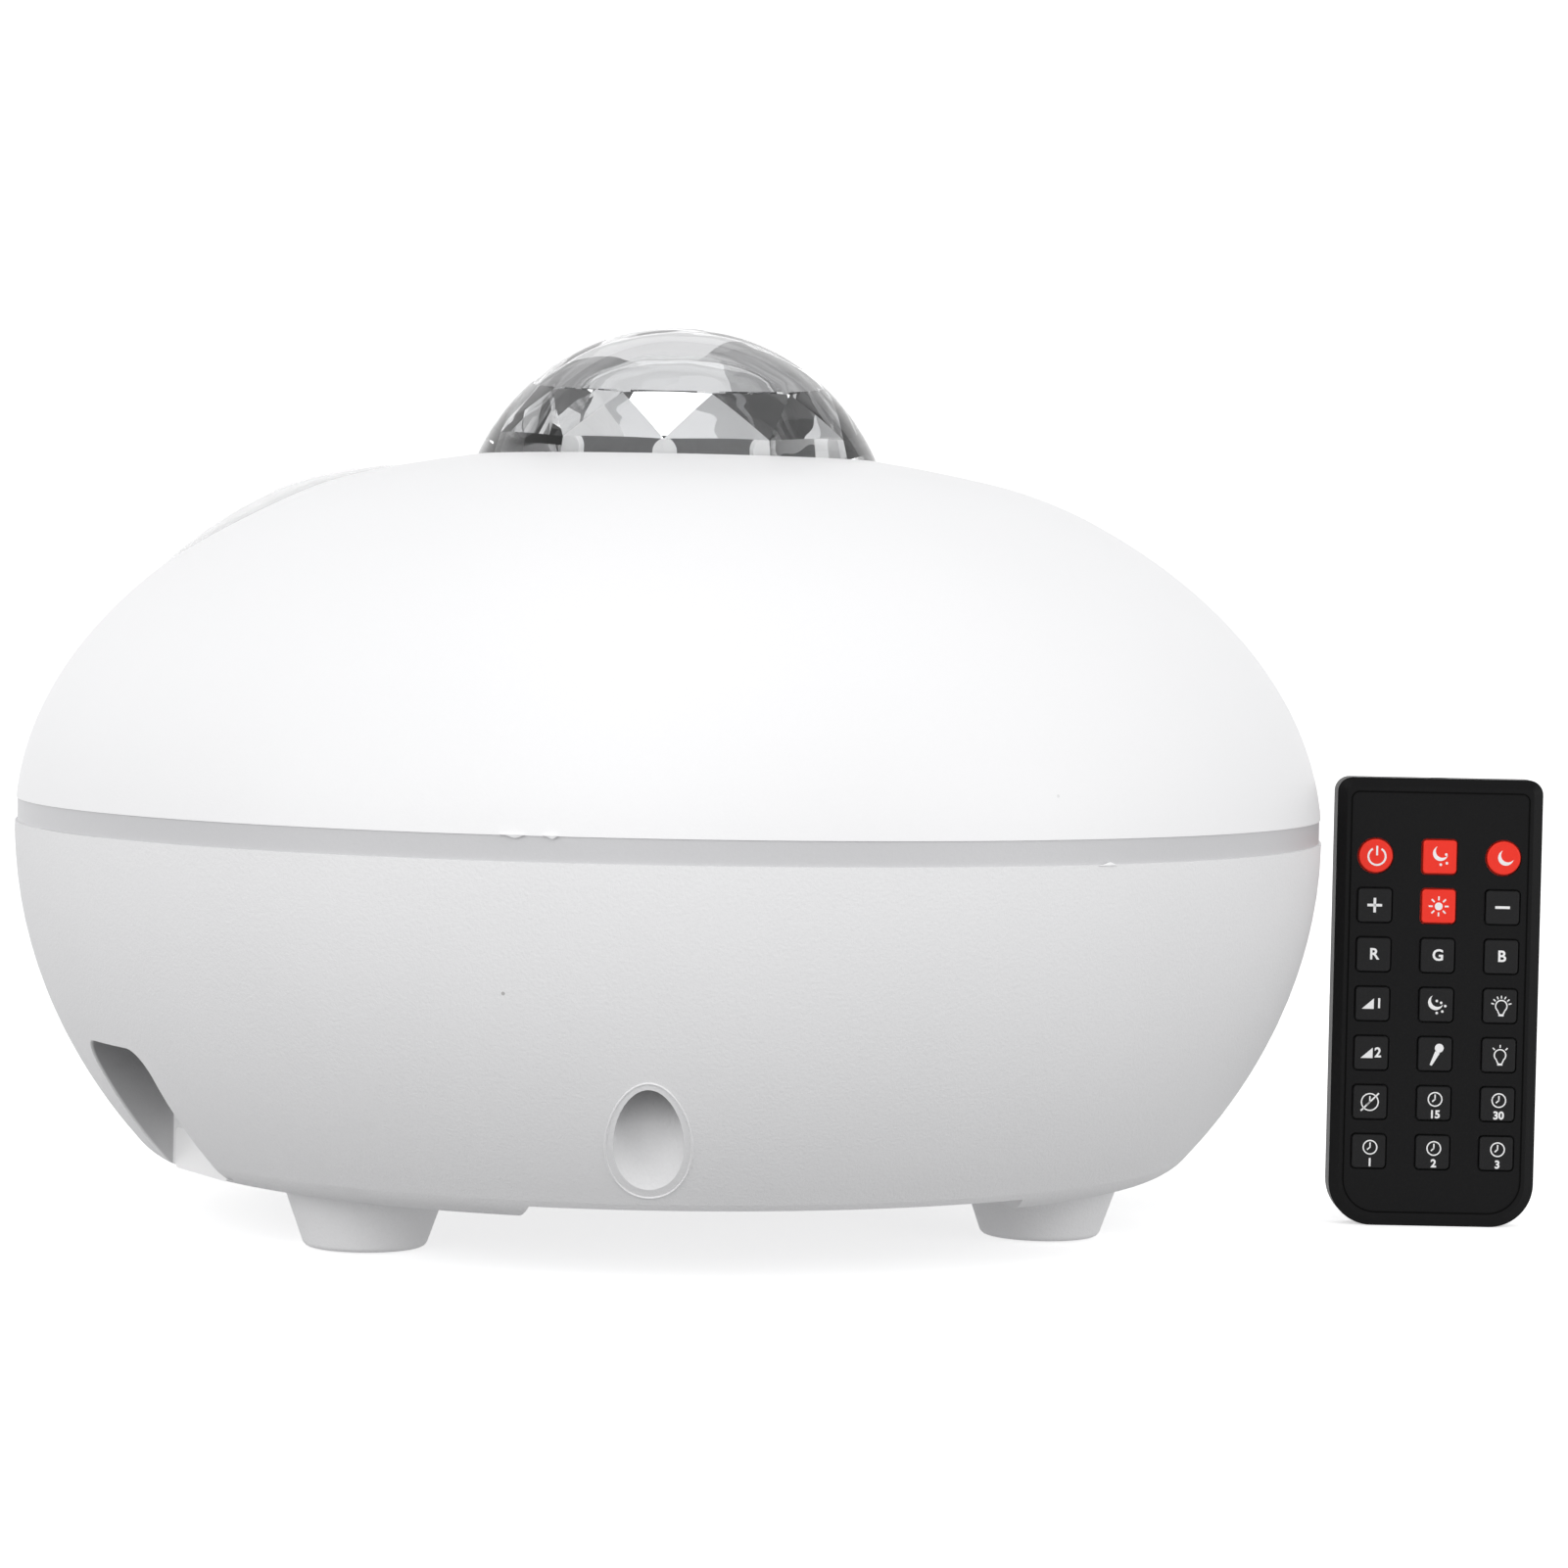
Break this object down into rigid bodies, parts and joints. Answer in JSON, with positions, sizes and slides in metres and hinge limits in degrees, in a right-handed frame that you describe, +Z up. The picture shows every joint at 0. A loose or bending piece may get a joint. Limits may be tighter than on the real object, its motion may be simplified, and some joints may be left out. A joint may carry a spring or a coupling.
{
  "type": "star night light projector",
  "caption": "Round night light projector with a clear faceted dome, a tilted star window on its shoulder and moulded feet, with a slim infrared remote control.",
  "frame": {"origin": "on the table, under the middle of the footprint of the projector and the remote together", "axes": "+Z up, +X to the right where the remote stands, +Y to the back"},
  "size_m": [0.2866, 0.246, 0.1684],
  "materials": {
    "upper_white": "satin",
    "lower_white": "fine spark-eroded grain",
    "trim_grey": "satin",
    "bezel_white": "satin",
    "button_white": "satin",
    "silicone": "matt",
    "dome_clear": "polished clear acrylic",
    "window_clear": "polished",
    "lens_clear": "polished",
    "inner_white": "matt",
    "inner_black": "matt",
    "gear_white": "matt",
    "steel": "zinc plated",
    "motor_steel": "drawn can",
    "cell_steel": "polished steel can",
    "aluminium_plate": "milled",
    "laser_brass": "turned",
    "board_white": "white solder resist",
    "board_green": "green solder resist",
    "led_yellow": "phosphor",
    "remote_black": "fine grain",
    "key_black": "satin",
    "key_red": "satin"
  },
  "bodies": {
    "projector": {"lower_shell": "lower_white", "upper_shell": "upper_white", "trim_band": "trim_grey", "foot_pad_1": "silicone", "foot_pad_2": "silicone", "foot_pad_3": "silicone", "crystal_dome": "dome_clear", "lamp_housing": "inner_white", "lamp_screws": "steel", "case_screws": "steel", "board_screws": "steel", "optics_screws": "steel", "heat_sink": "aluminium_plate", "led_board": "board_white", "led_emitters": "led_yellow", "led_lenses": "lens_clear", "disc_motor": "motor_steel", "window_bezel": "bezel_white", "window_lens": "window_clear", "optics_bracket": "inner_black", "star_motor": "motor_steel", "laser_module": "laser_brass", "control_board": "board_green", "dc_socket": "inner_black", "tact_switch": "inner_black", "ir_receiver": "inner_black", "microphone": "motor_steel"},
    "ripple_disc": {"ripple_disc": "lens_clear"},
    "star_wheel": {"star_wheel": "lens_clear"},
    "star_pinion": {"star_pinion": "gear_white"},
    "power_button": {"power_button": "button_white"},
    "remote": {"remote_front_cover": "remote_black", "remote_rear_cover": "remote_black", "remote_board": "board_green", "remote_ir_led": "window_clear"},
    "battery_tray": {"battery_tray": "remote_black", "coin_cell": "cell_steel"},
    "key_power": {"key_power": "key_red"},
    "key_moon_rays": {"key_moon_rays": "key_red"},
    "key_crescent": {"key_crescent": "key_red"},
    "key_faster": {"key_faster": "key_black"},
    "key_led": {"key_led": "key_red"},
    "key_slower": {"key_slower": "key_black"},
    "key_red": {"key_red": "key_black"},
    "key_green": {"key_green": "key_black"},
    "key_blue": {"key_blue": "key_black"},
    "key_fade_1": {"key_fade_1": "key_black"},
    "key_moon_stars": {"key_moon_stars": "key_black"},
    "key_bulb_bright": {"key_bulb_bright": "key_black"},
    "key_fade_2": {"key_fade_2": "key_black"},
    "key_sound": {"key_sound": "key_black"},
    "key_bulb_dim": {"key_bulb_dim": "key_black"},
    "key_no_timer": {"key_no_timer": "key_black"},
    "key_15_min": {"key_15_min": "key_black"},
    "key_30_min": {"key_30_min": "key_black"},
    "key_1_hour": {"key_1_hour": "key_black"},
    "key_2_hours": {"key_2_hours": "key_black"},
    "key_3_hours": {"key_3_hours": "key_black"}
  },
  "joints": [
    {"name": "disc_spin", "type": "hinge", "parent": "projector", "child": "ripple_disc", "pos_m": [-0.02039, 0, 0.1212], "axis": [0, 0, 1], "continuous": true},
    {"name": "wheel_spin", "type": "hinge", "parent": "projector", "child": "star_wheel", "pos_m": [-0.08893, 0.01836, 0.12326], "axis": [-0.4338, 0.1162, 0.8935], "continuous": true},
    {"name": "pinion_spin", "type": "hinge", "parent": "projector", "child": "star_pinion", "pos_m": [-0.10816, -0.0011, 0.11645], "axis": [-0.4338, 0.1162, 0.8935], "continuous": true},
    {"name": "power_press", "type": "slide", "parent": "projector", "child": "power_button", "axis": [0.9613, 0.2756, 0], "range_m": [0, 0.0005], "stiffness_N_per_m": 800, "springref_m": -0.0006},
    {"name": "remote_lift", "type": "slide", "parent": "projector", "child": "remote", "axis": [0, 0, 1], "range_m": [0, 0.12]},
    {"name": "tray_slide", "type": "slide", "parent": "remote", "child": "battery_tray", "axis": [0, 0, -1], "range_m": [0, 0.024]},
    {"name": "key_power_press", "type": "slide", "parent": "remote", "child": "key_power", "axis": [0.2516, 0.9678, 0], "range_m": [0, 0.0003], "stiffness_N_per_m": 1500, "springref_m": -0.0003},
    {"name": "key_moon_rays_press", "type": "slide", "parent": "remote", "child": "key_moon_rays", "axis": [0.2516, 0.9678, 0], "range_m": [0, 0.0003], "stiffness_N_per_m": 1500, "springref_m": -0.0003},
    {"name": "key_crescent_press", "type": "slide", "parent": "remote", "child": "key_crescent", "axis": [0.2516, 0.9678, 0], "range_m": [0, 0.0003], "stiffness_N_per_m": 1500, "springref_m": -0.0003},
    {"name": "key_faster_press", "type": "slide", "parent": "remote", "child": "key_faster", "axis": [0.2516, 0.9678, 0], "range_m": [0, 0.0003], "stiffness_N_per_m": 1500, "springref_m": -0.0003},
    {"name": "key_led_press", "type": "slide", "parent": "remote", "child": "key_led", "axis": [0.2516, 0.9678, 0], "range_m": [0, 0.0003], "stiffness_N_per_m": 1500, "springref_m": -0.0003},
    {"name": "key_slower_press", "type": "slide", "parent": "remote", "child": "key_slower", "axis": [0.2516, 0.9678, 0], "range_m": [0, 0.0003], "stiffness_N_per_m": 1500, "springref_m": -0.0003},
    {"name": "key_red_press", "type": "slide", "parent": "remote", "child": "key_red", "axis": [0.2516, 0.9678, 0], "range_m": [0, 0.0003], "stiffness_N_per_m": 1500, "springref_m": -0.0003},
    {"name": "key_green_press", "type": "slide", "parent": "remote", "child": "key_green", "axis": [0.2516, 0.9678, 0], "range_m": [0, 0.0003], "stiffness_N_per_m": 1500, "springref_m": -0.0003},
    {"name": "key_blue_press", "type": "slide", "parent": "remote", "child": "key_blue", "axis": [0.2516, 0.9678, 0], "range_m": [0, 0.0003], "stiffness_N_per_m": 1500, "springref_m": -0.0003},
    {"name": "key_fade_1_press", "type": "slide", "parent": "remote", "child": "key_fade_1", "axis": [0.2516, 0.9678, 0], "range_m": [0, 0.0003], "stiffness_N_per_m": 1500, "springref_m": -0.0003},
    {"name": "key_moon_stars_press", "type": "slide", "parent": "remote", "child": "key_moon_stars", "axis": [0.2516, 0.9678, 0], "range_m": [0, 0.0003], "stiffness_N_per_m": 1500, "springref_m": -0.0003},
    {"name": "key_bulb_bright_press", "type": "slide", "parent": "remote", "child": "key_bulb_bright", "axis": [0.2516, 0.9678, 0], "range_m": [0, 0.0003], "stiffness_N_per_m": 1500, "springref_m": -0.0003},
    {"name": "key_fade_2_press", "type": "slide", "parent": "remote", "child": "key_fade_2", "axis": [0.2516, 0.9678, 0], "range_m": [0, 0.0003], "stiffness_N_per_m": 1500, "springref_m": -0.0003},
    {"name": "key_sound_press", "type": "slide", "parent": "remote", "child": "key_sound", "axis": [0.2516, 0.9678, 0], "range_m": [0, 0.0003], "stiffness_N_per_m": 1500, "springref_m": -0.0003},
    {"name": "key_bulb_dim_press", "type": "slide", "parent": "remote", "child": "key_bulb_dim", "axis": [0.2516, 0.9678, 0], "range_m": [0, 0.0003], "stiffness_N_per_m": 1500, "springref_m": -0.0003},
    {"name": "key_no_timer_press", "type": "slide", "parent": "remote", "child": "key_no_timer", "axis": [0.2516, 0.9678, 0], "range_m": [0, 0.0003], "stiffness_N_per_m": 1500, "springref_m": -0.0003},
    {"name": "key_15_min_press", "type": "slide", "parent": "remote", "child": "key_15_min", "axis": [0.2516, 0.9678, 0], "range_m": [0, 0.0003], "stiffness_N_per_m": 1500, "springref_m": -0.0003},
    {"name": "key_30_min_press", "type": "slide", "parent": "remote", "child": "key_30_min", "axis": [0.2516, 0.9678, 0], "range_m": [0, 0.0003], "stiffness_N_per_m": 1500, "springref_m": -0.0003},
    {"name": "key_1_hour_press", "type": "slide", "parent": "remote", "child": "key_1_hour", "axis": [0.2516, 0.9678, 0], "range_m": [0, 0.0003], "stiffness_N_per_m": 1500, "springref_m": -0.0003},
    {"name": "key_2_hours_press", "type": "slide", "parent": "remote", "child": "key_2_hours", "axis": [0.2516, 0.9678, 0], "range_m": [0, 0.0003], "stiffness_N_per_m": 1500, "springref_m": -0.0003},
    {"name": "key_3_hours_press", "type": "slide", "parent": "remote", "child": "key_3_hours", "axis": [0.2516, 0.9678, 0], "range_m": [0, 0.0003], "stiffness_N_per_m": 1500, "springref_m": -0.0003}
  ],
  "couplings": [
    {"joint": "pinion_spin", "follows": "wheel_spin", "ratio": -3.6667}
  ]
}
